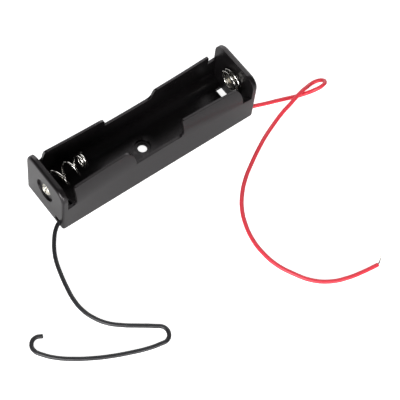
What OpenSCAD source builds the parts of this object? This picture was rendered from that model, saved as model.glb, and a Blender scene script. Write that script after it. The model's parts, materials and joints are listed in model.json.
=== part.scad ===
// Open holder for one 18.5 x 65 mm cylindrical cell, with two contact springs and two leads.
// Origin at the centre of the underside, +X towards the positive (red lead) end, +Z up.

/* [Housing] */
// Overall length over the end plates
length = 77; // [74:0.5:82]
// Overall width
width = 20.3; // [19.8:0.1:22]
// Height of the end plates
height = 20; // [19:0.5:22]
// Thickness of the floor
floor_t = 1.5; // [1.2:0.1:2]
// Thickness of the side walls
wall_t = 1; // [0.8:0.1:1.3]
// Thickness of each end plate
plate_t = 2; // [1.8:0.1:2.6]
// Radius of the end plates' upper corners
plate_corner_r = 4; // [2:0.5:6]
// Radius of the end plates' outer edges
plate_edge_r = 1; // [0.4:0.1:1.2]
// Radius of the cradle between floor and side walls
cradle_r = 4; // [3:0.5:6]

/* [Side walls] */
// Height of the four gripping tabs
tab_h = 18.5; // [18.2:0.1:19.6]
// Height of the wall in the wide finger gap
gap_h = 12.3; // [11.3:0.1:13.5]
// Height of the wall in the small notches beside the end plates
notch_h = 11.6; // [11.1:0.1:13]
// How far the tabs curl inward over the cell at their lips
lip_lean = 1.65; // [1:0.05:2.4]
// Height at which the walls start to curl inward
lean_z = 11; // [9:0.5:11]
// How far the walls bow inward at mid length
mid_bow = 0.95; // [0:0.05:1.2]

/* [Holes] */
// Diameter of the central screw hole
screw_d = 3.2; // [2.6:0.1:3.6]
// Diameter of the counterbore round the screw hole
screw_head_d = 5.6; // [5:0.1:6.5]
// Depth of that counterbore
screw_head_depth = 0.5; // [0.3:0.1:0.8]
// Length of each floor window along the holder
window_l = 2.75; // [2:0.05:3]
// Width of each floor window across the holder
window_w = 9; // [6:0.5:10]
// Diameter of the rivet recess in each end plate
recess_d = 8.2; // [7.6:0.1:9.6]
// Depth of the rivet recess
recess_depth = 0.7; // [0.7:0.1:1.2]
// Height of the rivets' axis
contact_z = 11; // [10.5:0.1:11.5]

/* [Springs] */
// Diameter of the spring wire
wire_d = 0.75; // [0.6:0.05:0.8]
// Radius of the negative spring's first free turn
neg_base_r = 3.75; // [3.4:0.05:4]
// Radius of the negative spring's closed end turns
neg_tip_r = 2.3; // [2.2:0.05:2.6]
// Rise of one open turn of the negative spring
neg_pitch = 4.85; // [3.5:0.05:4.9]
// Mean radius of the positive spring
pos_r = 3.5; // [3.2:0.05:3.6]
// Rise of one turn of the positive spring
pos_pitch = 1.2; // [0.9:0.05:1.3]

/* [Leads] */
// Outer diameter of the leads' insulation
lead_d = 1.4; // [1.2:0.05:1.4]
// Diameter of the leads' bare wire
core_d = 0.5; // [0.4:0.05:0.6]

/* [Hidden] */

eps = 0.01;
half_l = length / 2;
half_w = width / 2;
bay_x = half_l - plate_t;         // inner face of an end plate
bay_y = half_w - wall_t;          // inner face of a straight wall

// Side wall: stations along the wall, and heights up its section
wall_steps = 24;
wall_zs = [0, lean_z, gap_h, 13.7, 15.1, 16.5, 17.7];
lip_t = 0.85;

// Outline of the tabs along the front wall, which the back wall mirrors
near_notch_end = -32.9;
tab1_end = -12.8;
tab1_foot = -9.5;
gap_end = 9.4;
tab2_end = 30.5;
tab2_foot = 33;
notch_r = [1.5, 1.8];             // fillet at the foot of each tab's upright end
tab_corner_r = 0.7;

// Lead slot and the pocket behind it
slot_y = [-9.1, -5.8];
slot_z = [1.8, 3.8];
pocket_y = -9.2;
pocket_l = 4.4;

// Rivet
shank_r = 1.45;
rivet_bore_r = 1;
head_r = 2.2;
head_t = 0.4;
tail_r = 2.35;
tail_h = 0.65;
petals = 6;
slit_w = 0.4;

// Solder tag
tag_t = 0.3;
tag_r = 2.3;
tag_w = 1.8;
tag_l = 5.6;
tag_angle = 225;
solder_r = 0.8;
solder_h = 0.85;
solder_at = 4.75;                 // distance of the solder's middle from the rivet's axis

// Springs: wire facets and steps in a turn
wire_sides = 8;
turn_steps = 24;
loop_r = shank_r + wire_d / 2 + 0.03;
seat = tag_t + wire_d / 2;        // height of the seated turn's centre off the end plate
neg_lean = 0.1;                   // sideways lean of the negative spring, per mm of height

// Leads
lead_sides = 8;
core_sides = 8;

// ---- Small helpers ----

function unit(v) = v / norm(v);

// Closed tube of polygonal section along a list of points; each hint points the first side outward
module tube(path, r, sides, hints) {
    n = len(path);
    tangents = [for (i = [0 : n - 1]) unit(path[min(i + 1, n - 1)] - path[max(i - 1, 0)])];
    rings = [for (i = [0 : n - 1])
        let (t = tangents[i], b = unit(cross(t, hints[i])), a = cross(b, t))
        for (k = [0 : sides - 1])
            let (w = 360 * k / sides)
            path[i] + r * (cos(w) * a + sin(w) * b)];
    side_faces = [for (i = [0 : n - 2], k = [0 : sides - 1])
        let (p = i * sides + k, q = i * sides + (k + 1) % sides)
        each [[p, p + sides, q], [q, p + sides, q + sides]]];
    polyhedron(
        points = concat(rings, [path[0], path[n - 1]]),
        faces = concat(
            side_faces,
            [for (k = [0 : sides - 1]) [k, (k + 1) % sides, n * sides]],
            [for (k = [0 : sides - 1])
                [(n - 1) * sides + (k + 1) % sides, (n - 1) * sides + k, n * sides + 1]]),
        convexity = 10);
}

// Lies a shape drawn in the XY plane on edge, its X along Y and its Y up, and grows it along +X
module along_x(l) {
    rotate([90, 0, 90]) linear_extrude(l) children();
}

// ---- Housing ----

// Inward offset of the wall's outer face at a place along the holder and a height
function lean(z) = z <= lean_z ? 0 : lip_lean * pow((z - lean_z) / (tab_h - lean_z), 2);
function bow(x, z) = mid_bow * min(1, z / gap_h) * (1 - pow(x / half_l, 2));
function wall_y(x, z) = half_w - lean(z) - bow(x, z);
function wall_thick(z) = wall_t - (wall_t - lip_t) * max(0, z - lean_z) / (tab_h - lean_z);

// Section of the front wall at one station, up the outside and down the inside
function wall_section(x) = concat(
    [for (z = wall_zs) [x, -wall_y(x, z), z]],
    [[x, -wall_y(x, tab_h) + 0.15, tab_h + eps], [x, -wall_y(x, tab_h) + lip_t - 0.1, tab_h + eps]],
    [for (i = [len(wall_zs) - 1 : -1 : 0])
        let (z = wall_zs[i]) [x, -wall_y(x, z) + wall_thick(z), z]]);

module front_wall_shell() {
    ends = bay_x + plate_t / 2;
    n = 2 * len(wall_zs) + 2;
    points = [for (i = [0 : wall_steps]) each wall_section(-ends + 2 * ends * i / wall_steps)];
    polyhedron(
        points = points,
        faces = concat(
            [[for (k = [n - 1 : -1 : 0]) k]],
            [[for (k = [0 : n - 1]) wall_steps * n + k]],
            [for (i = [0 : wall_steps - 1], k = [0 : n - 1])
                let (p = i * n + k, q = i * n + (k + 1) % n)
                each [[p, q, p + n], [q, q + n, p + n]]]),
        convexity = 4);
}

// One tab seen from the side: upright end at the left with a fillet at its foot, rounded shoulder at the right
module tab_outline(left, right, foot, left_h, foot_h, fillet_r) {
    difference() {
        union() {
            translate([left, 0]) square([foot - left, tab_h]);
            translate([left - fillet_r, 0]) square([fillet_r + eps, left_h + fillet_r]);
        }
        translate([left - fillet_r, left_h + fillet_r]) circle(fillet_r, $fn = 32);
        difference() {
            translate([left - eps, tab_h - tab_corner_r]) square([tab_corner_r + eps, tab_corner_r + 1]);
            translate([left + tab_corner_r, tab_h - tab_corner_r]) circle(tab_corner_r, $fn = 32);
        }
        difference() {
            translate([right, foot_h]) square([foot - right + 1, tab_h - foot_h + 1]);
            polygon(concat(
                [[right - 1, foot_h]],
                [for (a = [0 : 9 : 90])
                    [right + (foot - right) * cos(a), foot_h + (tab_h - foot_h) * sin(a)]],
                [[right - 1, tab_h]]));
        }
    }
}

// Side view of the front wall between the end plates
module front_outline() {
    ends = bay_x + plate_t / 2;
    translate([-ends - 1, -1]) square([ends + 1 + tab1_foot, notch_h + 1]);
    translate([tab1_foot - 2, -1]) square([gap_end - tab1_foot + 2.5, gap_h + 1]);
    translate([gap_end, -1]) square([ends + 1 - gap_end, notch_h + 1]);
    tab_outline(near_notch_end, tab1_end, tab1_foot, notch_h, gap_h, notch_r[0]);
    tab_outline(gap_end, tab2_end, tab2_foot, gap_h, notch_h, notch_r[1]);
}

module front_wall() {
    intersection() {
        front_wall_shell();
        rotate([90, 0, 0]) translate([0, 0, -half_w]) linear_extrude(width + 2) front_outline();
    }
}

// Floor and the cradle fillets that the cell lies against
module trough_floor() {
    cy = bay_y - cradle_r;
    edge = half_w - wall_t / 2;
    translate([-bay_x - plate_t / 2, 0, 0]) along_x(2 * bay_x + plate_t) difference() {
        translate([-edge, 0]) square([2 * edge, floor_t + cradle_r]);
        translate([-cy, floor_t]) square([2 * cy, cradle_r + 1]);
        for (s = [-1, 1]) translate([s * cy, floor_t + cradle_r]) circle(cradle_r, $fn = 64);
    }
}

// End plate at the positive end, with its outer edges rounded
module plate() {
    r = plate_edge_r;
    intersection() {
        translate([bay_x, 0, 0]) along_x(plate_t) {
            translate([-half_w, 0]) square([width, height - plate_corner_r]);
            translate([-half_w + plate_corner_r, 0]) square([width - 2 * plate_corner_r, height]);
            for (s = [-1, 1])
                translate([s * (half_w - plate_corner_r), height - plate_corner_r])
                    circle(plate_corner_r, $fn = 64);
        }
        translate([0, half_w + 1, 0]) rotate([90, 0, 0]) linear_extrude(width + 2) {
            translate([bay_x - 1, -1]) square([plate_t + 1, height + 1 - r]);
            translate([bay_x - 1, -1]) square([plate_t + 1 - r, height + 1]);
            translate([half_l - r, height - r]) circle(r, $fn = 32);
        }
        translate([0, 0, -1]) linear_extrude(height + 2) {
            translate([bay_x - 1, -half_w + r]) square([plate_t + 1, width - 2 * r]);
            translate([bay_x - 1, -half_w]) square([plate_t + 1 - r, width]);
            for (s = [-1, 1]) translate([half_l - r, s * (half_w - r)]) circle(r, $fn = 32);
        }
    }
}

// What is cut out of one end: rivet hole and recess, floor window, lead slot and pocket
module end_cuts() {
    translate([bay_x - 1, 0, contact_z]) rotate([0, 90, 0])
        cylinder(r = shank_r + 0.03, h = plate_t + 2, $fn = 48);
    translate([half_l - recess_depth, 0, contact_z]) rotate([0, 90, 0])
        cylinder(d = recess_d, h = recess_depth + 1, $fn = 64);
    translate([bay_x - window_l, -window_w / 2, -1]) cube([window_l, window_w, floor_t + 2]);
    translate([bay_x - 1, slot_y[0], slot_z[0]])
        cube([plate_t + 2, slot_y[1] - slot_y[0], slot_z[1] - slot_z[0]]);
    translate([bay_x - pocket_l, pocket_y, slot_z[0]])
        cube([pocket_l, slot_y[1] - pocket_y, floor_t + cradle_r - slot_z[0]]);
}

module housing() color([0.15, 0.15, 0.155]) {
    difference() {
        union() {
            trough_floor();
            front_wall();
            mirror([0, 1, 0]) front_wall();
            plate();
            mirror([1, 0, 0]) plate();
        }
        end_cuts();
        mirror([1, 0, 0]) end_cuts();
        translate([0, 0, -1]) cylinder(d = screw_d, h = floor_t + 2, $fn = 48);
        translate([0, 0, floor_t - screw_head_depth])
            cylinder(d = screw_head_d, h = screw_head_depth + 1, $fn = 48);
    }
}

// ---- Springs ----

// Right-handed coil standing on the negative end plate. Each key is [turn, height of the wire off the
// plate, radius, sideways shift, upward shift]; turns are counted from the back, over the top.
function key_value(keys, turn, column) = lookup(turn, [for (k = keys) [k[0], k[column]]]);
function coil_point(keys, turn) =
    let (r = key_value(keys, turn, 2))
    [-bay_x + key_value(keys, turn, 1),
     key_value(keys, turn, 3) + r * cos(360 * turn),
     contact_z + key_value(keys, turn, 4) + r * sin(360 * turn)];

module coil(keys) {
    first = keys[0][0];
    last = keys[len(keys) - 1][0];
    steps = ceil((last - first) * turn_steps);
    turns = [for (i = [0 : steps]) first + (last - first) * i / steps];
    tube([for (t = turns) coil_point(keys, t)], wire_d / 2, wire_sides,
        [for (t = turns) [0, cos(360 * t), sin(360 * t)]]);
}

// Loop round the rivet, spiral out to the first turn, two open tapering turns, two closed turns
function neg_key(turn, free, r, up) = [turn, seat + free, r, neg_lean * free, up];
neg_rise = 1.7;                   // height at which the open turns begin
neg_open = neg_rise + 1.5 * neg_pitch;
neg_closed = neg_open + 2.8;
closed_pitch = 0.95;
neg_keys = [
    neg_key(-1.62, 0, loop_r, 0),
    neg_key(-0.9, 0, loop_r, 0),
    neg_key(-0.45, 0, neg_base_r - 0.5, 0),
    neg_key(-0.3, 0.35, neg_base_r, 0.1),
    neg_key(0, neg_rise, neg_base_r, 0.4),
    neg_key(0.25, neg_rise + 0.27 * neg_pitch, neg_base_r - 0.05, 0.7),
    neg_key(0.5, neg_rise + 0.56 * neg_pitch, neg_base_r - 0.6, 1.4),
    neg_key(1.5, neg_open, neg_base_r - 0.6, 1.9),
    neg_key(2, neg_open + 2.1, neg_tip_r + 0.25, 2.3),
    neg_key(2.35, neg_closed, neg_tip_r, 2.35),
    neg_key(4.1, neg_closed + 1.75 * closed_pitch, neg_tip_r, 2.1)];

module negative_spring() color([0.82, 0.81, 0.78]) coil(neg_keys);

// Loop round the rivet, spiral out, and one and a half turns that sit a little out of line
pos_keys = [
    [-1.3, seat, loop_r, 0, 0],
    [-0.75, seat, loop_r, 0, 0],
    [-0.25, seat, pos_r - 0.5, 0, 0],
    [0.05, seat, pos_r + 0.1, 0.5, 0.7],
    [0.4, seat + 0.3, pos_r + 0.1, 0.2, 0.9],
    [0.75, seat + 0.75 * pos_pitch, pos_r - 0.05, 0, 0.6],
    [1.4, seat + 1.3 * pos_pitch, pos_r - 0.1, 0, 0.7]];

module positive_spring() color([0.82, 0.81, 0.78]) rotate([0, 0, 180]) coil(pos_keys);

// ---- Rivets and solder tags, drawn for the negative end ----

// Tubular rivet: flat head in the bay, shank through the end plate, tail split and rolled in the recess
module rivet() {
    head_x = tag_t + wire_d;
    tail_x = -plate_t + recess_depth;
    translate([-bay_x, 0, contact_z]) difference() {
        rotate([0, 90, 0]) rotate_extrude($fn = 48) {
            translate([rivet_bore_r, head_x]) square([head_r - rivet_bore_r, head_t]);
            translate([rivet_bore_r, tail_x]) square([shank_r - rivet_bore_r, head_x - tail_x + eps]);
            polygon([[rivet_bore_r, tail_x], [rivet_bore_r, tail_x - 0.5],
                [rivet_bore_r + 0.25, tail_x - tail_h], [tail_r - 0.25, tail_x - tail_h + 0.25],
                [tail_r, tail_x - 0.3], [tail_r, tail_x]]);
        }
        for (k = [0 : petals - 1])
            rotate([360 * (k + 0.3) / petals, 0, 0])
                translate([tail_x - 2, shank_r - 0.1, -slit_w / 2]) cube([2 - 0.05, tail_r, slit_w]);
    }
}

module negative_rivet() color([0.78, 0.74, 0.62]) rivet();
module positive_rivet() color([0.78, 0.74, 0.62]) mirror([1, 0, 0]) rivet();

// Stamped tag: ring under the spring and an arm towards the lead
module tag() {
    translate([-bay_x, 0, contact_z]) along_x(tag_t) difference() {
        union() {
            circle(tag_r, $fn = 48);
            rotate(tag_angle) translate([0, -tag_w / 2]) square([tag_l - tag_w / 2, tag_w]);
            rotate(tag_angle) translate([tag_l - tag_w / 2, 0]) circle(tag_w / 2, $fn = 32);
        }
        circle(shank_r + 0.03, $fn = 48);
    }
}

module negative_tag() color([0.75, 0.74, 0.7]) tag();
module positive_tag() color([0.75, 0.74, 0.7]) mirror([1, 0, 0]) tag();

// Solder dome that joins the lead's bare wire to the tag's arm
module solder() {
    a = tag_angle;
    translate([-bay_x + tag_t, solder_at * cos(a), contact_z + solder_at * sin(a)]) rotate([0, 90, 0])
        rotate_extrude($fn = 32) polygon(concat(
            [[0, 0]],
            [for (w = [0 : 15 : 90]) [solder_r * cos(w), solder_h * sin(w)]]));
}

module negative_solder() color([0.7, 0.7, 0.7]) solder();
module positive_solder() color([0.7, 0.7, 0.7]) mirror([1, 0, 0]) solder();

// ---- Leads ----

// Centre lines, from the stripped end beside the solder tag, out through the end plate's slot and
// along the surface the holder stands on, to the free end
black_route = [
    [-34.1, -4.5, 7.1], [-32.7, -5.4, 5.9], [-32.6, -6.6, 4.4], [-33.8, -7.5, 3.1], [-35.6, -7.9, 2.7],
    [-38.7, -8.2, 2.6], [-41, -9.6, 2.4], [-43.3, -12.1, 1.5], [-45.2, -15, 0.8], [-46.7, -18.3, 0.7],
    [-48, -22.6, 0.7], [-49.1, -27.4, 0.7], [-49.8, -32.2, 0.7], [-49.6, -36.7, 0.7],
    [-48.3, -40.8, 0.7], [-45.9, -44.7, 0.7], [-42.3, -48.1, 0.7], [-38.3, -51.1, 0.7],
    [-34.7, -53.8, 0.7], [-32.5, -55.9, 0.7], [-32.5, -58.2, 0.7], [-34.1, -59.8, 0.7],
    [-37.1, -59.6, 0.7], [-41.3, -58.5, 0.7], [-46.2, -56.6, 0.7], [-51.3, -54.3, 0.7],
    [-56.3, -51.6, 0.7], [-60.9, -48.6, 0.7], [-64.9, -45.4, 0.7], [-67.8, -42.1, 0.7],
    [-69.3, -39.2, 0.7], [-68.7, -37, 0.7], [-66.7, -36, 0.7], [-64.4, -36.9, 0.7]];
red_route = [
    [34.7, -4.8, 6.9], [34.5, -5.5, 5.9], [34.5, -6.3, 4.8], [35.1, -7.1, 3.7], [36.4, -7.8, 2.9],
    [38.8, -8.2, 2.5], [41.5, -9, 2.2], [44.5, -9.8, 1.7], [48, -10.7, 1.3], [51.6, -11.7, 0.9],
    [55.2, -12.9, 0.8], [58.7, -14.2, 1.4], [60.5, -15.6, 3.4], [63.2, -16.2, 4.4], [65.5, -15.2, 3.7],
    [65.9, -13.3, 2.1], [64.5, -12, 0.9], [62.3, -11.8, 0.7], [60.2, -12.4, 1.6], [57.5, -13.1, 2.6],
    [54.2, -13.9, 2.5], [50.9, -14.7, 1.9], [47.6, -15.4, 1.4], [44.2, -16.4, 0.9], [41, -17.6, 0.7],
    [37.4, -19.1, 0.8], [33.5, -21, 0.9], [25.5, -25.5, 0.7], [20.8, -28.6, 0.7], [16.5, -32.4, 0.7],
    [12.9, -36.9, 0.7], [10.4, -42, 0.7], [8.9, -47.5, 0.7], [8.6, -53.1, 0.7], [9.5, -58.9, 0.7],
    [11.9, -64.5, 0.7], [15.3, -69.8, 0.7], [20, -73.6, 0.7], [25.2, -75.7, 0.7], [30.6, -76.9, 0.7],
    [36.2, -77.7, 0.7]];

// Bare wire from inside the insulation to the solder, and the red lead's bare free end
black_core_route = [[-33.6, -4.8, 6.8], [-34.1, -4.5, 7.1], [-34.9, -4, 7.4], [-35.8, -3.4, 7.6]];
red_core_route = [[34.5, -5.2, 6.2], [34.7, -4.8, 6.9], [35.2, -4.1, 7.4], [35.8, -3.4, 7.6]];
red_tip_route = [
    [35.4, -77.6, 0.7], [36.2, -77.7, 0.7], [37, -77.4, 1.1], [37.7, -76.9, 1.8], [38.2, -76.4, 2.6]];

module strand(route, d, sides) {
    tube(route, d / 2, sides, [for (p = route) [0.1, 0.2, 1]]);
}

module black_lead() color([0.09, 0.09, 0.1]) strand(black_route, lead_d, lead_sides);
module red_lead() color([0.8, 0.08, 0.12]) strand(red_route, lead_d, lead_sides);
module black_core() color([0.8, 0.75, 0.65]) strand(black_core_route, core_d, core_sides);

module red_core() color([0.8, 0.75, 0.65]) {
    strand(red_core_route, core_d, core_sides);
    strand(red_tip_route, core_d, core_sides);
}

housing();
negative_spring();
positive_spring();
negative_rivet();
positive_rivet();
negative_tag();
positive_tag();
negative_solder();
positive_solder();
black_lead();
red_lead();
black_core();
red_core();
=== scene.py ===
"""Looks of an open holder for one 18.5 mm x 65 mm cylindrical cell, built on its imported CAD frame."""

import json
import math
import random

import bmesh
import bpy
from bpy.props import FloatProperty, FloatVectorProperty, IntProperty, PointerProperty
from mathutils import Matrix, Vector


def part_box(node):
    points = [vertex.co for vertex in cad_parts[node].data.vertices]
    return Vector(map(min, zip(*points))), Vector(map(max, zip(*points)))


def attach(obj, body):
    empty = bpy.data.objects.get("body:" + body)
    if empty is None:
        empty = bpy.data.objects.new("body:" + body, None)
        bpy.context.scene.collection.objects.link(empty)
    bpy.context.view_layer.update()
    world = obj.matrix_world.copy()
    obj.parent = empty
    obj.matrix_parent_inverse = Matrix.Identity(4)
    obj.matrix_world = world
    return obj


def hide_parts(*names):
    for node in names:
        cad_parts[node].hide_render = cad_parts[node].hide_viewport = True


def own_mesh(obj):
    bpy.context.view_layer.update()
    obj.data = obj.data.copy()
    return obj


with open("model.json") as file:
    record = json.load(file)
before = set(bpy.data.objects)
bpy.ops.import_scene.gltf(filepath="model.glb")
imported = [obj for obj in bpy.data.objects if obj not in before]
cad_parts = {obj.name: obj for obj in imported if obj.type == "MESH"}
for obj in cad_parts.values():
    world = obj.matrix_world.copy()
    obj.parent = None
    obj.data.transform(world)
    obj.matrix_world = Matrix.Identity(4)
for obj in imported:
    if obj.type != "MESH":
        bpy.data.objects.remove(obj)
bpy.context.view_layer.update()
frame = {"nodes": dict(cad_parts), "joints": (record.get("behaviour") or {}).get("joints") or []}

bl_info = {
    "name": "Cylindrical Cell Holder",
    "version": (1, 0, 0),
    "blender": (4, 5, 0),
    "location": "View3D > Sidebar > Cell Holder",
    "description": "Builds the housing, springs, rivets and leads of an open cell holder",
    "category": "Add Mesh",
}

MM = 0.001
HALF_LENGTH, HALF_WIDTH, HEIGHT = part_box("housing")[1]
RIVET_LOW, RIVET_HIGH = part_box("negative_rivet")
CONTACT_Z = (RIVET_LOW[2] + RIVET_HIGH[2]) / 2  # height of the rivets and springs above the underside
TAG_THICKNESS = 0.3 * MM
OVERCUT = 1 * MM  # how far a cutter runs past the face that it opens
NEAR = 0.01 * MM  # less than this apart counts as the same place

# Centre lines of the leads in millimetres, from the stripped end inside the housing to the free end
BLACK_ROUTE = [
    (-34.1, -4.5, 7.1), (-32.7, -5.4, 5.9), (-32.6, -6.6, 4.4), (-33.8, -7.5, 3.1), (-35.6, -7.9, 2.7),
    (-38.7, -8.2, 2.6), (-41, -9.6, 2.4), (-43.3, -12.1, 1.5), (-45.2, -15, 0.8), (-46.7, -18.3, 0.7),
    (-48, -22.6, 0.7), (-49.1, -27.4, 0.7), (-49.8, -32.2, 0.7), (-49.6, -36.7, 0.7),
    (-48.3, -40.8, 0.7), (-45.9, -44.7, 0.7), (-42.3, -48.1, 0.7), (-38.3, -51.1, 0.7),
    (-34.7, -53.8, 0.7), (-32.5, -55.9, 0.7), (-32.5, -58.2, 0.7), (-34.1, -59.8, 0.7),
    (-37.1, -59.6, 0.7), (-41.3, -58.5, 0.7), (-46.2, -56.6, 0.7), (-51.3, -54.3, 0.7),
    (-56.3, -51.6, 0.7), (-60.9, -48.6, 0.7), (-64.9, -45.4, 0.7), (-67.8, -42.1, 0.7),
    (-69.3, -39.2, 0.7), (-68.7, -37, 0.7), (-66.7, -36, 0.7), (-64.4, -36.9, 0.7)]
RED_ROUTE = [
    (34.7, -4.8, 6.9), (34.5, -5.5, 5.9), (34.5, -6.3, 4.8), (35.1, -7.1, 3.7), (36.4, -7.8, 2.9),
    (38.8, -8.2, 2.5), (41.5, -9, 2.2), (44.5, -9.8, 1.7), (48, -10.7, 1.3), (51.6, -11.7, 0.9),
    (55.2, -12.9, 0.8), (58.7, -14.2, 1.4), (60.5, -15.6, 3.4), (63.2, -16.2, 4.4), (65.5, -15.2, 3.7),
    (65.9, -13.3, 2.1), (64.5, -12, 0.9), (62.3, -11.8, 0.7), (60.2, -12.4, 1.6), (57.5, -13.1, 2.6),
    (54.2, -13.9, 2.5), (50.9, -14.7, 1.9), (47.6, -15.4, 1.4), (44.2, -16.4, 0.9), (41, -17.6, 0.7),
    (37.4, -19.1, 0.8), (33.5, -21, 0.9), (25.5, -25.5, 0.7), (20.8, -28.6, 0.7), (16.5, -32.4, 0.7),
    (12.9, -36.9, 0.7), (10.4, -42, 0.7), (8.9, -47.5, 0.7), (8.6, -53.1, 0.7), (9.5, -58.9, 0.7),
    (11.9, -64.5, 0.7), (15.3, -69.8, 0.7), (20, -73.6, 0.7), (25.2, -75.7, 0.7), (30.6, -76.9, 0.7),
    (36.2, -77.7, 0.7)]
BLACK_CORE_ROUTE = [(-33.6, -4.8, 6.8), (-34.1, -4.5, 7.1), (-34.9, -4, 7.4), (-35.8, -3.4, 7.6)]
RED_CORE_ROUTE = [(34.5, -5.2, 6.2), (34.7, -4.8, 6.9), (35.2, -4.1, 7.4), (35.8, -3.4, 7.6)]
RED_TIP_ROUTE = [
    (35.4, -77.6, 0.7), (36.2, -77.7, 0.7), (37, -77.4, 1.1), (37.7, -76.9, 1.8), (38.2, -76.4, 2.6)]


# ---- Sizes and colours ----

def length(name, description, millimetres):
    """A size in millimetres as a scene length."""
    return FloatProperty(name=name, description=description, default=millimetres * MM, unit="LENGTH")


def colour(name, description, default):
    """A linear colour."""
    return FloatVectorProperty(name=name, description=description, default=default, size=3,
                               subtype="COLOR", min=0, max=1)


class HousingSettings(bpy.types.PropertyGroup):
    """Sizes and finish of the black moulding"""
    plate: length("Plate", "Thickness of an end plate", 2)
    recess: length("Recess", "Depth of the rivet recess in an end plate", 0.7)
    floor: length("Floor", "Thickness of the floor", 1.5)
    wall: length("Wall", "Thickness of a side wall at its foot", 1)
    lip: length("Lip", "Thickness of a side wall at its lip", 0.85)
    cradle: length("Cradle radius", "Radius between the floor and the side walls", 4)
    corner: length("Corner radius", "Radius of an end plate's upper corners", 4)
    tab_height: length("Tab height", "Height of the gripping tabs", 18.5)
    gap_height: length("Gap height", "Height of the wall in the finger gap", 12.3)
    notch_height: length("Notch height", "Height of the wall beside the end plates", 11.6)
    lean: length("Lean", "How far the tabs curl inward at their lips", 1.65)
    lean_start: length("Lean start", "Height at which the tabs start to curl", 11)
    bow: length("Bow", "How far the walls bow inward at mid length", 0.95)
    plate_round: length("Plate rounding", "Radius of the end plates' outer edges", 1)
    edge_round: length("Edge rounding", "Radius of the other outer edges", 0.26)
    shade: colour("Plastic", "Colour of the moulding", (0.0085, 0.0075, 0.008))
    roughness: FloatProperty(name="Roughness", description="Roughness of the moulding", default=0.28,
                             min=0, max=1, subtype="FACTOR")


class SpringSettings(bpy.types.PropertyGroup):
    """Sizes and finish of the contact springs"""
    wire: length("Wire", "Diameter of the spring wire", 0.75)
    loop: length("Loop radius", "Radius of the turn that the rivet clamps", 1.855)
    negative_base: length("Negative base", "Radius of the tall spring's first free turn", 3.75)
    negative_tip: length("Negative tip", "Radius of the tall spring's closed end turns", 2.3)
    negative_pitch: length("Negative pitch", "Rise of one open turn of the tall spring", 4.85)
    positive_radius: length("Positive radius", "Radius of the short spring's turns", 3.5)
    positive_pitch: length("Positive pitch", "Rise of one turn of the short spring", 1.2)
    turn_steps: IntProperty(name="Steps in a turn", description="Points in each turn of wire", default=40)
    shade: colour("Plating", "Colour of the nickel plate", (0.83, 0.81, 0.77))


class RivetSettings(bpy.types.PropertyGroup):
    """Sizes and finish of the tubular rivets"""
    bore: length("Bore radius", "Radius inside the tube", 1)
    shank: length("Shank radius", "Radius outside the tube", 1.45)
    head: length("Head radius", "Radius of the flange in the bay", 2.2)
    tail: length("Tail radius", "Radius of the split and rolled tail", 2.35)
    petals: IntProperty(name="Petals", description="Parts the tail is split into", default=6,
                        min=3, max=10)
    shade: colour("Plating", "Colour of the tinned brass", (0.94, 0.91, 0.83))


class ContactSettings(bpy.types.PropertyGroup):
    """Finish of the solder tags and the solder"""
    tag: colour("Tag", "Colour of the tinned tags", (0.78, 0.76, 0.7))
    solder: colour("Solder", "Colour of the solder", (0.72, 0.72, 0.71))


class LeadSettings(bpy.types.PropertyGroup):
    """Sizes and finish of the leads"""
    diameter: length("Insulation", "Outer diameter of the insulation", 1.4)
    core: length("Bare wire", "Diameter over the bare strands", 0.48)
    strands: IntProperty(name="Strands", description="Strands round the middle one", default=6,
                         min=3, max=9)
    black: colour("Black", "Colour of the black insulation", (0.016, 0.016, 0.018))
    red: colour("Red", "Colour of the red insulation", (0.8, 0.045, 0.07))
    tin: colour("Tin", "Colour of the tinned wire", (0.5, 0.48, 0.44))


class StageSettings(bpy.types.PropertyGroup):
    """Camera and light"""
    focal: FloatProperty(name="Focal length", description="Focal length in mm on a 36 mm sensor",
                         default=129.8)
    floor_seen: FloatProperty(name="Floor glow", description="White that the floor shows to the camera",
                              default=0.93, min=0, max=1)
    floor_mirrored: FloatProperty(name="Floor gleam", description="White that the floor shows mirrored",
                                  default=0.22, min=0, max=1)
    sky: FloatProperty(name="Sky", description="Strength of the even light from all sides", default=0.03)
    key: FloatProperty(name="Key", description="Power of the main lamp", default=4.6, unit="POWER")
    fill: FloatProperty(name="Fill", description="Power of the second lamp", default=2, unit="POWER")
    rim: FloatProperty(name="Rim", description="Power of the low lamp behind", default=6, unit="POWER")


# ---- Shader building ----

class Socket:
    """A node output that can be used in plain arithmetic; each step adds a Math node."""

    def __init__(self, tree, output=None):
        self.tree = tree
        self.output = output

    def node(self, kind, settings=None, inputs=None, output=0):
        """Add a node: its settings are set first, then its sockets are filled or linked."""
        node = self.tree.nodes.new(kind)
        for name, value in (settings or {}).items():
            setattr(node, name, value)
        for name, value in (inputs or {}).items():
            if isinstance(value, Socket):
                self.tree.links.new(value.output, node.inputs[name])
            else:
                node.inputs[name].default_value = value
        return Socket(self.tree, node.outputs[output]) if node.outputs else None

    def math(self, operation, first, second):
        return self.node("ShaderNodeMath", {"operation": operation}, {0: first, 1: second})

    def __add__(self, other):
        return self.math("ADD", self, other)

    def __mul__(self, other):
        return self.math("MULTIPLY", self, other)

    __radd__ = __add__
    __rmul__ = __mul__


def rgba(shade, gain=1.0):
    """A colour with full opacity, lightened or darkened by a gain."""
    return (*(min(1.0, channel * gain) for channel in shade), 1.0)


def noise(start, scale, detail=2, stretch=(1, 1, 1)):
    """Noise over the object's own coordinates; scale is in cells per metre."""
    place = start.node("ShaderNodeTexCoord", output="Object")
    place = start.node("ShaderNodeMapping", inputs={"Vector": place, "Scale": stretch})
    return start.node("ShaderNodeTexNoise", {"noise_dimensions": "3D"},
                      {"Vector": place, "Scale": scale, "Detail": detail, "Roughness": 0.5}, "Fac")


def blend(start, factor, first, second):
    """Mix of two colours; a Mix node has its colours at sockets 6, 7 and output 2."""
    return start.node("ShaderNodeMix", {"data_type": "RGBA"}, {"Factor": factor, 6: first, 7: second}, 2)


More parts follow.
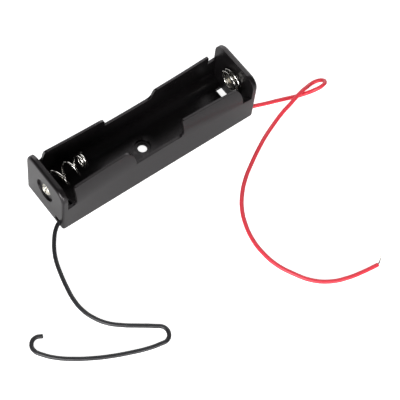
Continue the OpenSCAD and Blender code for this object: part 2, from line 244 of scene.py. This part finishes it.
def shaded(holder, kind, build):
    """Give a material or a world the shader that a build function makes."""
    holder.use_nodes = True
    holder.node_tree.nodes.clear()
    start = Socket(holder.node_tree)
    start.node(kind, inputs={"Surface": build(start)})
    return holder


def surface(name, build):
    """A material whose build function gives the surface shader's socket values."""
    return shaded(bpy.data.materials.new(name), "ShaderNodeOutputMaterial",
                  lambda start: start.node("ShaderNodeBsdfPrincipled", inputs=build(start)))


def bump(start, height, strength, distance):
    """Fine relief that only the light sees."""
    values = {"Height": height, "Strength": strength, "Distance": distance}
    return start.node("ShaderNodeBump", inputs=values, output="Normal")


def moulded_plastic(shade, roughness):
    """Satin moulding with a fine spark texture, broad cloudiness and faint flow along its length."""
    def build(start):
        grain = noise(start, 5200, detail=3)
        cloud = noise(start, 70, detail=3)
        flow = noise(start, 240, stretch=(0.12, 1, 1))
        return {
            "Base Color": blend(start, cloud * 0.6 + flow * 0.4, rgba(shade, 0.72), rgba(shade, 1.35)),
            "Roughness": roughness - 0.06 + cloud * 0.1 + grain * 0.06,
            "Specular Tint": (1.0, 0.95, 0.98, 1.0),
            "Normal": bump(start, grain + flow * 0.25, strength=0.3, distance=0.02 * MM),
        }
    return build


def plated_metal(shade, roughness, tarnish, grain_scale=3000, bump_height=0.006 * MM):
    """Plated metal with a drawn grain and a little tarnish."""
    def build(start):
        grain = noise(start, grain_scale, detail=3)
        patch = noise(start, 420)
        return {
            "Base Color": blend(start, patch * tarnish, rgba(shade), rgba(shade, 0.45)),
            "Metallic": 1.0,
            "Roughness": roughness + patch * 0.12 + grain * 0.05,
            "Normal": bump(start, grain, strength=0.35, distance=bump_height),
        }
    return build


def insulation(shade, lift):
    """Soft extruded insulation with a slight sheen and uneven tone, up to lift times its colour."""
    def build(start):
        tone = noise(start, 160)
        skin = noise(start, 2600)
        return {
            "Base Color": blend(start, tone, rgba(shade, 0.88), rgba(shade, lift)),
            "Roughness": 0.33 + tone * 0.12,
            "Normal": bump(start, skin, strength=0.25, distance=0.01 * MM),
        }
    return build


# ---- Mesh building ----

def arc(centre, radii, start, end, steps):
    """Points on an elliptical arc between two angles in degrees, ends included."""
    turns = [math.radians(start + (end - start) * i / steps) for i in range(steps + 1)]
    return [(centre[0] + radii[0] * math.cos(t), centre[1] + radii[1] * math.sin(t)) for t in turns]


def in_order(bm):
    """The same mesh with corners and faces in order of place.

    A boolean returns them in no fixed order, and bevels come out a little differently with each.
    """
    corners = sorted(bm.verts, key=lambda vert: tuple(vert.co))
    number = {vert: i for i, vert in enumerate(corners)}

    def loop(face):
        around = [number[vert] for vert in face.verts]
        first = around.index(min(around))
        return around[first:] + around[:first]

    loops = sorted(loop(face) for face in bm.faces)
    made = bmesh.new()
    verts = [made.verts.new(vert.co) for vert in corners]
    for around in loops:
        made.faces.new([verts[i] for i in around])
    made.normal_update()
    bm.free()
    return made


def prism(outline, place, depth):
    """Closed prism: place turns an outline point into a corner, and depth is the extrusion."""
    bm = bmesh.new()
    face = bm.faces.new([bm.verts.new(place(u, v)) for u, v in outline])
    grown = bmesh.ops.extrude_face_region(bm, geom=[face])["geom"]
    bmesh.ops.translate(bm, verts=[g for g in grown if isinstance(g, bmesh.types.BMVert)], vec=depth)
    bmesh.ops.recalc_face_normals(bm, faces=bm.faces)
    return bm


def block(low, high):
    """Closed box between two corners."""
    outline = [(low[0], low[1]), (high[0], low[1]), (high[0], high[1]), (low[0], high[1])]
    return prism(outline, lambda x, y: (x, y, low[2]), (0, 0, high[2] - low[2]))


def drum(start, end, radius, sides):
    """Closed cylinder between two points on a line along X or Z."""
    start, end = Vector(start), Vector(end)
    bm = bmesh.new()
    bmesh.ops.create_cone(bm, cap_ends=True, segments=sides, radius1=radius, radius2=radius,
                          depth=(end - start).length)
    turn = (end - start).to_track_quat("Z", "Y").to_matrix().to_4x4()
    bmesh.ops.transform(bm, matrix=Matrix.Translation((start + end) / 2) @ turn, verts=bm.verts)
    return bm


def piece(bm, name):
    """A new object in the scene from a bmesh, which is freed."""
    mesh = bpy.data.meshes.new(name)
    bm.to_mesh(mesh)
    bm.free()
    made = bpy.data.objects.new(name, mesh)
    bpy.context.scene.collection.objects.link(made)
    return made


def applied_mesh(made):
    """The mesh of an object with its modifiers or curve shape worked out."""
    graph = bpy.context.evaluated_depsgraph_get()
    return bpy.data.meshes.new_from_object(made.evaluated_get(graph))


def combine(base, tools, operation):
    """Join solids to a bmesh, or cut them from it."""
    target = piece(base, "target")
    others = [piece(tool, "tool") for tool in tools]
    for other in others:
        step = target.modifiers.new("combine", "BOOLEAN")
        step.operation = operation
        step.object = other
        step.solver = "EXACT"
    mesh = applied_mesh(target)
    bm = bmesh.new()
    bm.from_mesh(mesh)
    for spent in [target, *others]:
        bpy.data.objects.remove(spent)
    bpy.data.meshes.remove(mesh)
    return in_order(bm)


def tidy(bm):
    """Merge doubled corners and flat neighbours left by joining and cutting."""
    merge_distance = 0.002 * MM
    flat_angle = math.radians(0.5)
    bmesh.ops.remove_doubles(bm, verts=bm.verts, dist=merge_distance)
    bm = in_order(bm)
    bmesh.ops.dissolve_limit(bm, angle_limit=flat_angle, verts=bm.verts, edges=bm.edges)
    return in_order(bm)


def round_edges(bm, edges, radius, steps):
    """Bevel edges to a radius."""
    bmesh.ops.bevel(bm, geom=edges, offset=radius, offset_type="OFFSET", segments=steps, profile=0.5,
                    affect="EDGES", clamp_overlap=True, material=-1)


def finish(made, material, node):
    """Smooth shading with creases, material, body and the CAD node that a piece stands for."""
    crease = math.radians(38)
    made.data.polygons.foreach_set("use_smooth", [True] * len(made.data.polygons))
    made.data.set_sharp_from_angle(angle=crease)
    made.data.materials.clear()
    made.data.materials.append(material)
    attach(made, "holder")
    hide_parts(node)


def tube_curve(name, routes, radius, roundness, smooth=True):
    """A curve with round section along each route, smoothed between its points or straight."""
    data = bpy.data.curves.new(name, "CURVE")
    data.dimensions = "3D"
    data.bevel_depth = radius
    data.bevel_resolution = roundness
    data.use_fill_caps = True
    data.resolution_u = 10
    for route in routes:
        if smooth:
            spline = data.splines.new("BEZIER")
            spline.bezier_points.add(len(route) - 1)
            for point, place in zip(spline.bezier_points, route):
                point.co = place
                point.handle_left_type = point.handle_right_type = "AUTO"
        else:
            spline = data.splines.new("POLY")
            spline.points.add(len(route) - 1)
            for point, place in zip(spline.points, route):
                point.co = (*place, 1)
    made = bpy.data.objects.new(name, data)
    bpy.context.scene.collection.objects.link(made)
    return made


def as_mesh(curve):
    """A mesh object in place of a curve object, under the same name."""
    name = curve.name
    mesh = applied_mesh(curve)
    bpy.data.objects.remove(curve)
    mesh.name = name
    made = bpy.data.objects.new(name, mesh)
    bpy.context.scene.collection.objects.link(made)
    return made


def metres(route):
    """Points in metres for a route in millimetres."""
    return [Vector(point) * MM for point in route]


# ---- Housing ----

def wall_outline(s):
    """Side view of a side wall: notch, tab, finger gap, tab, notch."""
    end = HALF_LENGTH - s.plate / 2
    tab_corner = 0.7 * MM
    notch_fillet, gap_fillet = 1.5 * MM, 1.8 * MM
    # left end, right end and the foot of the slope beyond it
    first_tab = (-32.9 * MM, -12.8 * MM, -9.5 * MM)
    second_tab = (9.4 * MM, 30.5 * MM, 33 * MM)

    def tab(left, right, foot, left_z, right_z, fillet):
        rise = s.tab_height - right_z
        return (arc((right, right_z), (foot - right, rise), 0, 90, 12)
                + arc((left + tab_corner, s.tab_height - tab_corner), (tab_corner, tab_corner), 90, 180, 5)
                + arc((left - fillet, left_z + fillet), (fillet, fillet), 0, -90, 7))

    return ([(-end, 0), (end, 0), (end, s.notch_height)]
            + tab(*second_tab, s.gap_height, s.notch_height, gap_fillet)
            + tab(*first_tab, s.notch_height, s.gap_height, notch_fillet)
            + [(-end, s.notch_height)])


def trough_outline(s):
    """Section of the floor with its cradle fillets."""
    edge = HALF_WIDTH
    inner = edge - s.wall
    centre = inner - s.cradle
    top = s.floor + s.cradle
    right = arc((centre, top), (s.cradle, s.cradle), -90, 0, 14)
    left = arc((-centre, top), (s.cradle, s.cradle), -180, -90, 14)
    return [(-edge, 0), (edge, 0), (edge, top)] + right[::-1] + left[::-1] + [(-edge, top)]


def plate_outline(s):
    """Front view of an end plate."""
    c = s.corner
    return ([(-HALF_WIDTH, 0), (HALF_WIDTH, 0)]
            + arc((HALF_WIDTH - c, HEIGHT - c), (c, c), 0, 90, 14)
            + arc((c - HALF_WIDTH, HEIGHT - c), (c, c), 90, 180, 14))


def wall_shift(s, x, z):
    """How far a side wall stands in from a straight one, and its share of the way up the curl."""
    bay = HALF_LENGTH - s.plate
    bow = s.bow * min(1, z / s.gap_height) * max(0, 1 - (x / bay) ** 2)
    rise = max(0, z - s.lean_start) / (s.tab_height - s.lean_start)
    return bow + s.lean * rise ** 2, rise


def end_cutters(s, side):
    """What is cut out of one end: rivet hole, recess, floor window, lead slot and pocket."""
    bay = HALF_LENGTH - s.plate
    inner = side * (bay - OVERCUT)
    face = side * bay
    out = side * (HALF_LENGTH + OVERCUT)
    recess_floor = side * (HALF_LENGTH - s.recess)
    hole_radius, recess_radius = 1.48 * MM, 4.1 * MM
    # lengths run along the holder, edges lie across it, and slot corners are places across and up
    window_length, window_edge, window_top = 2.75 * MM, 4.5 * MM, 3 * MM
    slot_low, slot_high = (-9.1 * MM, 1.8 * MM), (-5.8 * MM, 3.8 * MM)
    pocket_length, pocket_edge = 4.4 * MM, -9.2 * MM
    pocket_top = s.floor + s.cradle

    def bore(start, radius, sides):
        return drum((start, 0, CONTACT_Z), (out, 0, CONTACT_Z), radius, sides)

    def span(a, b, low, high):
        return block((min(a, b), low[0], low[1]), (max(a, b), high[0], high[1]))

    return [
        bore(inner, hole_radius, 48),
        bore(recess_floor, recess_radius, 64),
        span(face - side * window_length, face, (-window_edge, -OVERCUT), (window_edge, window_top)),
        span(inner, out, slot_low, slot_high),
        span(face - side * pocket_length, face, (pocket_edge, slot_low[1]), (slot_high[0], pocket_top)),
    ]


def screw_cutters(s):
    """What is cut out of the floor for the screw: its hole and the counterbore round it."""
    screw_radius, sink_radius, sink_depth = 1.6 * MM, 2.8 * MM, 0.5 * MM
    above = (0, 0, s.floor + OVERCUT)
    return [
        drum((0, 0, -OVERCUT), above, screw_radius, 48),
        drum((0, 0, s.floor - sink_depth), above, sink_radius, 48),
    ]


class HOLDER_OT_housing(bpy.types.Operator):
    """Model the black moulding: floor, end plates and bowed gripping walls in one piece"""
    bl_idname = "holder.housing"
    bl_label = "Housing"

    def execute(self, context):
        s = context.scene.holder_housing
        bay = HALF_LENGTH - s.plate
        reach = HALF_LENGTH - s.plate / 2
        trough = prism(trough_outline(s), lambda y, z: (-reach, y, z), (2 * reach, 0, 0))
        outline = wall_outline(s)
        front = prism(outline, lambda x, z: (x, -HALF_WIDTH, z), (0, s.wall, 0))
        back = prism(outline, lambda x, z: (x, HALF_WIDTH, z), (0, -s.wall, 0))
        plates = [prism(plate_outline(s), lambda y, z: (side * bay, y, z), (side * s.plate, 0, 0))
                  for side in (-1, 1)]
        bm = combine(trough, [front, back, *plates], "UNION")
        cutters = [*screw_cutters(s), *end_cutters(s, -1), *end_cutters(s, 1)]
        bm = combine(bm, cutters, "DIFFERENCE")
        bm = self.round_all(tidy(bm), s)
        self.shape_walls(bm, s, bay)
        made = piece(bm, "housing_shell")
        material = surface("satin_black_plastic", moulded_plastic(s.shade, s.roughness))
        finish(made, material, "housing")
        weighted = made.modifiers.new("even_shading", "WEIGHTED_NORMAL")
        weighted.keep_sharp = True
        return {"FINISHED"}

    def round_all(self, bm, s):
        """Round the end plates' outer edges widely and every other outer edge slightly."""
        rim_angle, sharp_angle = math.radians(57), math.radians(40)

        def on_rim(vert):
            x, y, z = abs(vert.co.x), abs(vert.co.y), vert.co.z
            in_corner = min(y - HALF_WIDTH + s.corner, z - HEIGHT + s.corner) > NEAR
            on_side, on_top = y > HALF_WIDTH - NEAR, z > HEIGHT - NEAR
            return x > HALF_LENGTH - NEAR and (in_corner or on_side or on_top)

        rim = [e for e in bm.edges if all(on_rim(v) for v in e.verts) and e.calc_face_angle(0) > rim_angle]
        round_edges(bm, rim, s.plate_round, steps=5)
        bm = in_order(bm)
        sharp = [e for e in bm.edges if e.calc_face_angle(0) > sharp_angle and e.is_convex]
        round_edges(bm, sharp, s.edge_round, steps=3)
        return in_order(bm)

    def shape_walls(self, bm, s, bay):
        """Cut the walls into short lengths, then bow them inward and curl the tabs."""
        snap = 0.001 * MM
        stations = 18  # cuts from the middle to each end
        heights = (5.5, 11, 12.1, 13.2, 14.3, 15.4, 16.4, 17.3, 18)  # in millimetres, closer up the curl

        def cut(place, normal):
            geom = bm.verts[:] + bm.edges[:] + bm.faces[:]
            bmesh.ops.bisect_plane(bm, geom=geom, plane_co=place, plane_no=normal, dist=snap)

        for i in range(-stations, stations + 1):
            cut((bay * i / stations, 0, 0), (1, 0, 0))
        for z in heights:
            cut((0, 0, z * MM), (0, 0, 1))
        bmesh.ops.triangulate(bm, faces=[f for f in bm.faces if len(f.verts) > 4])
        cradle_start = HALF_WIDTH - s.wall - s.cradle
        middle = HALF_WIDTH - s.wall / 2
        for vert in bm.verts:
            x, y, z = vert.co
            if abs(x) > bay - NEAR:
                continue
            shift, rise = wall_shift(s, x, z)
            share = min(1, max(0, (abs(y) - cradle_start) / s.cradle))
            thinning = (s.wall - s.lip) * rise if abs(y) < middle else 0
            vert.co.y -= math.copysign((shift - thinning) * share, y)


# ---- Springs ----

class HOLDER_OT_springs(bpy.types.Operator):
    """Wind the two contact springs as one length of plated wire each"""
    bl_idname = "holder.springs"
    bl_label = "Springs"

    def execute(self, context):
        s = context.scene.holder_springs
        bay = HALF_LENGTH - context.scene.holder_housing.plate
        seat = TAG_THICKNESS + s.wire / 2
        nickel = plated_metal(s.shade, roughness=0.1, tarnish=0.1, bump_height=0.001 * MM)
        material = surface("bright_nickel_wire", nickel)
        for name, keys, turn_round in (("negative", self.negative_keys(s, seat), 1),
                                       ("positive", self.positive_keys(s, seat), -1)):
            route = [Vector((turn_round * p.x, turn_round * p.y, p.z)) for p in self.coil(s, keys, bay)]
            line = tube_curve(name + "_spring_wire", [route], s.wire / 2, roundness=5, smooth=False)
            wire = as_mesh(line)
            finish(wire, material, name + "_spring")
            joint = name + "_spring_press"
            low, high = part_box(name + "_spring")
            depth = high[0] - low[0]
            travel = next(max(map(abs, j["range_m"])) for j in frame["joints"] if j["name"] == joint)
            -turn_round * (bay - TAG_THICKNESS)
            1 - travel / depth
            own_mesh(wire)
        return {"FINISHED"}

    def negative_keys(self, s, seat):
        """Turn round the rivet, run-out, open tapering turns and closed end turns."""
        def key(turn, free, radius, up):
            lean = 0.1 * free
            return (turn, seat + free, radius, lean, up * MM)

        rise, base, tip = 1.7 * MM, s.negative_base, s.negative_tip
        opened = rise + 1.5 * s.negative_pitch
        closed = opened + 2.8 * MM
        end_turns, end_pitch = 1.75, 0.95 * MM
        clamped = [key(-1.62, 0, s.loop, 0), key(-0.9, 0, s.loop, 0)]
        run_out = [key(-0.45, 0, base - 0.5 * MM, 0), key(-0.3, 0.35 * MM, base, 0.1)]
        open_turns = [
            key(0, rise, base, 0.4),
            key(0.25, rise + 0.27 * s.negative_pitch, base - 0.05 * MM, 0.7),
            key(0.5, rise + 0.56 * s.negative_pitch, base - 0.6 * MM, 1.4),
            key(1.5, opened, base - 0.6 * MM, 1.9),
            key(2, opened + 2.1 * MM, tip + 0.25 * MM, 2.3)]
        closed_turns = [
            key(2.35, closed, tip, 2.35),
            key(2.35 + end_turns, closed + end_turns * end_pitch, tip, 2.1)]
        return clamped + run_out + open_turns + closed_turns

    def positive_keys(self, s, seat):
        """Turn round the rivet, run-out and a few free turns, a little out of line."""
        def key(turn, rise, radius, side, up):
            return (turn, seat + rise, radius, side * MM, up * MM)

        pitch, r = s.positive_pitch, s.positive_radius
        clamped = [key(-1.3, 0, s.loop, 0, 0), key(-0.75, 0, s.loop, 0, 0)]
        run_out = [key(-0.25, 0, r - 0.5 * MM, 0, 0), key(0.05, 0, r + 0.1 * MM, 0.5, 0.7)]
        free_turns = [
            key(0.4, 0.3 * MM, r + 0.1 * MM, 0.2, 0.9),
            key(0.75, 0.75 * pitch, r - 0.05 * MM, 0, 0.6),
            key(1.4, 1.3 * pitch, r - 0.1 * MM, 0, 0.7)]
        return clamped + run_out + free_turns

    def coil(self, s, keys, bay):
        """Points of the wire's centre line; turns are counted from the back over the top."""
        steps = math.ceil((keys[-1][0] - keys[0][0]) * s.turn_steps)
        points = []
        for i in range(steps + 1):
            turn = keys[0][0] + (keys[-1][0] - keys[0][0]) * i / steps
            height, radius, side, up = self.between(keys, turn)
            angle = 2 * math.pi * turn
            points.append(Vector((height - bay, side + radius * math.cos(angle),
                                  CONTACT_Z + up + radius * math.sin(angle))))
        return points

    def between(self, keys, turn):
        """Values at a turn, on straight lines between the keys."""
        for low, high in zip(keys, keys[1:]):
            if turn <= high[0]:
                share = (turn - low[0]) / (high[0] - low[0])
                return [a + (b - a) * share for a, b in zip(low[1:], high[1:])]
        return keys[-1][1:]


# ---- Rivets, tags and solder ----

class HOLDER_OT_rivets(bpy.types.Operator):
    """Turn the two tubular rivets and split their tails into petals"""
    bl_idname = "holder.rivets"
    bl_label = "Rivets"

    def execute(self, context):
        s = context.scene.holder_rivets
        housing = context.scene.holder_housing
        wire = context.scene.holder_springs.wire
        head_x, tail_x = TAG_THICKNESS + wire, housing.recess - housing.plate
        material = surface("tinned_brass", plated_metal(s.shade, roughness=0.28, tarnish=0.5))
        for side, name, seed in ((-1, "negative", 4), (1, "positive", 6)):
            bm = self.turned(s, head_x, tail_x)
            self.split_tail(bm, s, tail_x, seed)
            turn = Matrix.Rotation(0 if side < 0 else math.pi, 4, "Z")
            place = Matrix.Translation((side * (HALF_LENGTH - housing.plate), 0, CONTACT_Z))
            bmesh.ops.transform(bm, matrix=place @ turn, verts=bm.verts)
            made = piece(bm, name + "_rivet_tube")
            finish(made, material, name + "_rivet")
        return {"FINISHED"}

    def turned(self, s, head_x, tail_x):
        """Spin the rivet's wall section about its axis: flat head, tube, rolled tail."""
        head_top = head_x + 0.4 * MM
        head = [
            (s.bore, head_x + 0.3 * MM), (s.bore + 0.12 * MM, head_top), (s.head - 0.2 * MM, head_top),
            (s.head, head_x + 0.25 * MM), (s.head, head_x + 0.1 * MM), (s.head - 0.1 * MM, head_x)]
        tube = [(s.shank, head_x), (s.shank, tail_x)]
        tail = [
            (s.tail - 0.25 * MM, tail_x), (s.tail, tail_x - 0.12 * MM),
            (s.tail - 0.05 * MM, tail_x - 0.28 * MM), (s.tail - 0.35 * MM, tail_x - 0.46 * MM),
            (s.shank + 0.1 * MM, tail_x - 0.59 * MM),
            (s.bore + 0.28 * MM, tail_x - 0.63 * MM), (s.bore + 0.06 * MM, tail_x - 0.53 * MM),
            (s.bore, tail_x - 0.4 * MM)]
        section = head + tube + tail
        merge_distance = 0.0005 * MM
        bm = bmesh.new()
        verts = [bm.verts.new((x, r, 0)) for r, x in section]
        edges = [bm.edges.new((a, b)) for a, b in zip(verts, verts[1:] + verts[:1])]
        bmesh.ops.spin(bm, geom=verts + edges, cent=(0, 0, 0), axis=(1, 0, 0), angle=2 * math.pi,
                       steps=96, use_merge=True)
        bmesh.ops.remove_doubles(bm, verts=bm.verts, dist=merge_distance)
        bmesh.ops.recalc_face_normals(bm, faces=bm.faces)
        return in_order(bm)

    def split_tail(self, bm, s, tail_x, seed):
        """Draw the tail in at the splits, and give each petal its own reach and tilt."""
        rng = random.Random(seed)
        reach = [rng.uniform(0.55, 1.0) for _ in range(s.petals)]
        tilt = [rng.uniform(-0.12, 0.3) for _ in range(s.petals)]
        inner = s.bore + 0.2 * MM
        half_split, flank = 0.24 * MM, 0.1 * MM
        stub = 0.02  # share of the tail's reach that is left in a split
        turned_back = 0.05  # of a turn, for all the splits
        flat_part = 0.2 * MM  # up to here off the recess floor no petal tilts
        for vert in bm.verts:
            radius = math.hypot(vert.co.y, vert.co.z)
            if vert.co.x > tail_x - NEAR or radius < inner:
                continue
            place = (math.atan2(vert.co.z, vert.co.y) / (2 * math.pi) + turned_back) % 1 * s.petals
            petal = int(place) % s.petals
            off_split = min(place % 1, 1 - place % 1) * 2 * math.pi / s.petals * radius
            share = min(1, max(0, (off_split - half_split) / flank))
            new_radius = inner + (radius - inner) * (stub + (1 - stub) * share * reach[petal])
            vert.co.y *= new_radius / radius
            vert.co.z *= new_radius / radius
            if vert.co.x < tail_x - flat_part:
                vert.co.x += (radius - inner) * tilt[petal] * share


class HOLDER_OT_contacts(bpy.types.Operator):
    """Finish the solder tags and the solder on them"""
    bl_idname = "holder.contacts"
    bl_label = "Tags and solder"

    def execute(self, context):
        s = context.scene.holder_contacts
        tin = plated_metal(s.tag, roughness=0.26, tarnish=0.4)
        cast = plated_metal(s.solder, roughness=0.3, tarnish=0.35, grain_scale=1500, bump_height=0.03 * MM)
        tag, solder = surface("tinned_tag", tin), surface("satin_solder", cast)
        for name in ("negative", "positive"):
            for node, material in ((name + "_tag", tag), (name + "_solder", solder)):
                mesh = frame["nodes"][node].data
                mesh.materials.clear()
                mesh.materials.append(material)
        return {"FINISHED"}


# ---- Leads ----

class HOLDER_OT_leads(bpy.types.Operator):
    """Lay the two leads along their routes, with bare strands at the stripped ends"""
    bl_idname = "holder.leads"
    bl_label = "Leads"

    def execute(self, context):
        s = context.scene.holder_leads
        tinned = surface("tinned_strands", plated_metal(s.tin, roughness=0.2, tarnish=0.35))
        for name, route, shade, lift, bare in (
                ("black", BLACK_ROUTE, s.black, 1.6, [BLACK_CORE_ROUTE]),
                ("red", RED_ROUTE, s.red, 1.12, [RED_CORE_ROUTE, RED_TIP_ROUTE])):
            places = metres(route)
            lead = tube_curve(name + "_lead_skin", [places], s.diameter / 2, roundness=5)
            lead.data.materials.append(surface(name + "_insulation", insulation(shade, lift)))
            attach(lead, "holder")
            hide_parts(name + "_lead")
            strands = self.strands(s, name, bare)
            finish(strands, tinned, name + "_core")
        return {"FINISHED"}

    def strands(self, s, name, routes):
        """A middle strand with the others laid round it, along each bare length."""
        thread = s.core / 6  # radius of one strand, of which three lie side by side across the wire
        twist = 0.35  # in radians from one point to the next
        lines = []
        for route in routes:
            places = self.refined(metres(route), 4)
            lines.append(places)
            for k in range(s.strands):
                line = []
                for i, place in enumerate(places):
                    along = (places[min(i + 1, len(places) - 1)] - places[max(i - 1, 0)]).normalized()
                    out = along.orthogonal().normalized()
                    turn = Matrix.Rotation(2 * math.pi * k / s.strands + twist * i, 3, along)
                    line.append(place + turn @ out * 2 * thread)
                lines.append(line)
        return as_mesh(tube_curve(name + "_strands", lines, thread, roundness=2))

    def refined(self, places, steps):
        """More points on straight lines between the given ones."""
        out = []
        for a, b in zip(places, places[1:]):
            out += [a.lerp(b, i / steps) for i in range(steps)]
        return out + [places[-1]]


# ---- Stage ----

class HOLDER_OT_stage(bpy.types.Operator):
    """Set the camera, the white floor and the soft lamps"""
    bl_idname = "holder.stage"
    bl_label = "Stage"

    def execute(self, context):
        s = context.scene.holder_stage
        self.camera(context, s)
        self.floor(s)
        self.light(context, s)
        context.scene.view_settings.view_transform = "Standard"
        return {"FINISHED"}

    def camera(self, context, s):
        """A long lens above one end and one side, looking down at the open top."""
        place = Vector((-160.79, -191.01, 404.72)) * MM
        right = Vector((0.7931, -0.6042, 0.0769)).normalized()
        up = Vector((0.4964, 0.7143, 0.4933))
        up = (up - up.dot(right) * right).normalized()
        back = right.cross(up)
        data = bpy.data.cameras.new("camera")
        data.sensor_width = 36
        data.lens = s.focal
        data.clip_start = 0.01
        made = bpy.data.objects.new("camera", data)
        turn = Matrix((right, up, back)).transposed().to_4x4()
        made.matrix_world = Matrix.Translation(place) @ turn
        context.scene.collection.objects.link(made)
        context.scene.camera = made

    def floor(self, s):
        """A plain matt floor that is white to the camera and keeps the shadows faint."""
        reach = 1.5
        below = -0.02 * MM  # so that it never lies in the plane of the underside
        bm = bmesh.new()
        bmesh.ops.create_grid(bm, x_segments=1, y_segments=1, size=reach)
        bmesh.ops.translate(bm, verts=bm.verts, vec=(0, 0, below))
        floor = piece(bm, "floor")

        def build(start):
            seen = start.node("ShaderNodeLightPath", output="Is Camera Ray")
            mirrored = start.node("ShaderNodeLightPath", output="Is Glossy Ray")
            strength = seen * s.floor_seen + mirrored * s.floor_mirrored
            matt = start.node("ShaderNodeBsdfDiffuse", inputs={"Color": rgba((0.8, 0.8, 0.8))})
            glow = start.node("ShaderNodeEmission", inputs={"Color": rgba((1, 1, 1)), "Strength": strength})
            return start.node("ShaderNodeAddShader", inputs={0: matt, 1: glow})

        material = shaded(bpy.data.materials.new("white_floor"), "ShaderNodeOutputMaterial", build)
        floor.data.materials.append(material)

    def light(self, context, s):
        """A dim even sky that the camera sees as white, and three soft lamps."""
        def build(start):
            seen = start.node("ShaderNodeLightPath", output="Is Camera Ray")
            values = {"Color": rgba((1, 1, 1)), "Strength": seen * (1 - s.sky) + s.sky}
            return start.node("ShaderNodeBackground", inputs=values)

        context.scene.world = shaded(bpy.data.worlds.new("studio"), "ShaderNodeOutputWorld", build)
        self.lamp("key", (-0.5, -0.3, 0.27), size=0.4, power=s.key)
        self.lamp("fill", (-0.1, -0.6, 0.14), size=0.3, power=s.fill)
        self.lamp("rim", (0.42, 0.45, 0.24), size=1, power=s.rim)

    def lamp(self, name, place, size, power):
        """A square lamp that faces the origin."""
        data = bpy.data.lights.new(name, "AREA")
        data.shape = "SQUARE"
        data.size = size
        data.energy = power
        made = bpy.data.objects.new(name, data)
        place = Vector(place)
        turn = place.to_track_quat("Z", "Y").to_matrix().to_4x4()
        made.matrix_world = Matrix.Translation(place) @ turn
        bpy.context.scene.collection.objects.link(made)


class HOLDER_PT_panel(bpy.types.Panel):
    """Lists what the holder is made of"""
    bl_label = "Cell Holder"
    bl_idname = "HOLDER_PT_panel"
    bl_space_type = "VIEW_3D"
    bl_region_type = "UI"
    bl_category = "Cell Holder"

    def draw(self, context):
        for operator in OPERATORS:
            self.layout.operator(operator.bl_idname)
        for name in SETTINGS:
            settings = getattr(context.scene, name)
            box = self.layout.box()
            for field in settings.__annotations__:
                box.prop(settings, field)


SETTINGS = {
    "holder_stage": StageSettings,
    "holder_leads": LeadSettings,
    "holder_housing": HousingSettings,
    "holder_springs": SpringSettings,
    "holder_rivets": RivetSettings,
    "holder_contacts": ContactSettings,
}
OPERATORS = (
    HOLDER_OT_stage,
    HOLDER_OT_leads,
    HOLDER_OT_housing,
    HOLDER_OT_springs,
    HOLDER_OT_rivets,
    HOLDER_OT_contacts,
)
CLASSES = (*SETTINGS.values(), *OPERATORS, HOLDER_PT_panel)


def register():
    for item in CLASSES:
        bpy.utils.register_class(item)
    for name, group in SETTINGS.items():
        setattr(bpy.types.Scene, name, PointerProperty(type=group))


def unregister():
    for name in SETTINGS:
        delattr(bpy.types.Scene, name)
    for item in reversed(CLASSES):
        bpy.utils.unregister_class(item)


def main():
    """Build every piece in order."""
    register()
    bpy.ops.holder.stage()
    bpy.ops.holder.leads()
    bpy.ops.holder.housing()
    bpy.ops.holder.springs()
    bpy.ops.holder.rivets()
    bpy.ops.holder.contacts()


if __name__ == "__main__":
    main()
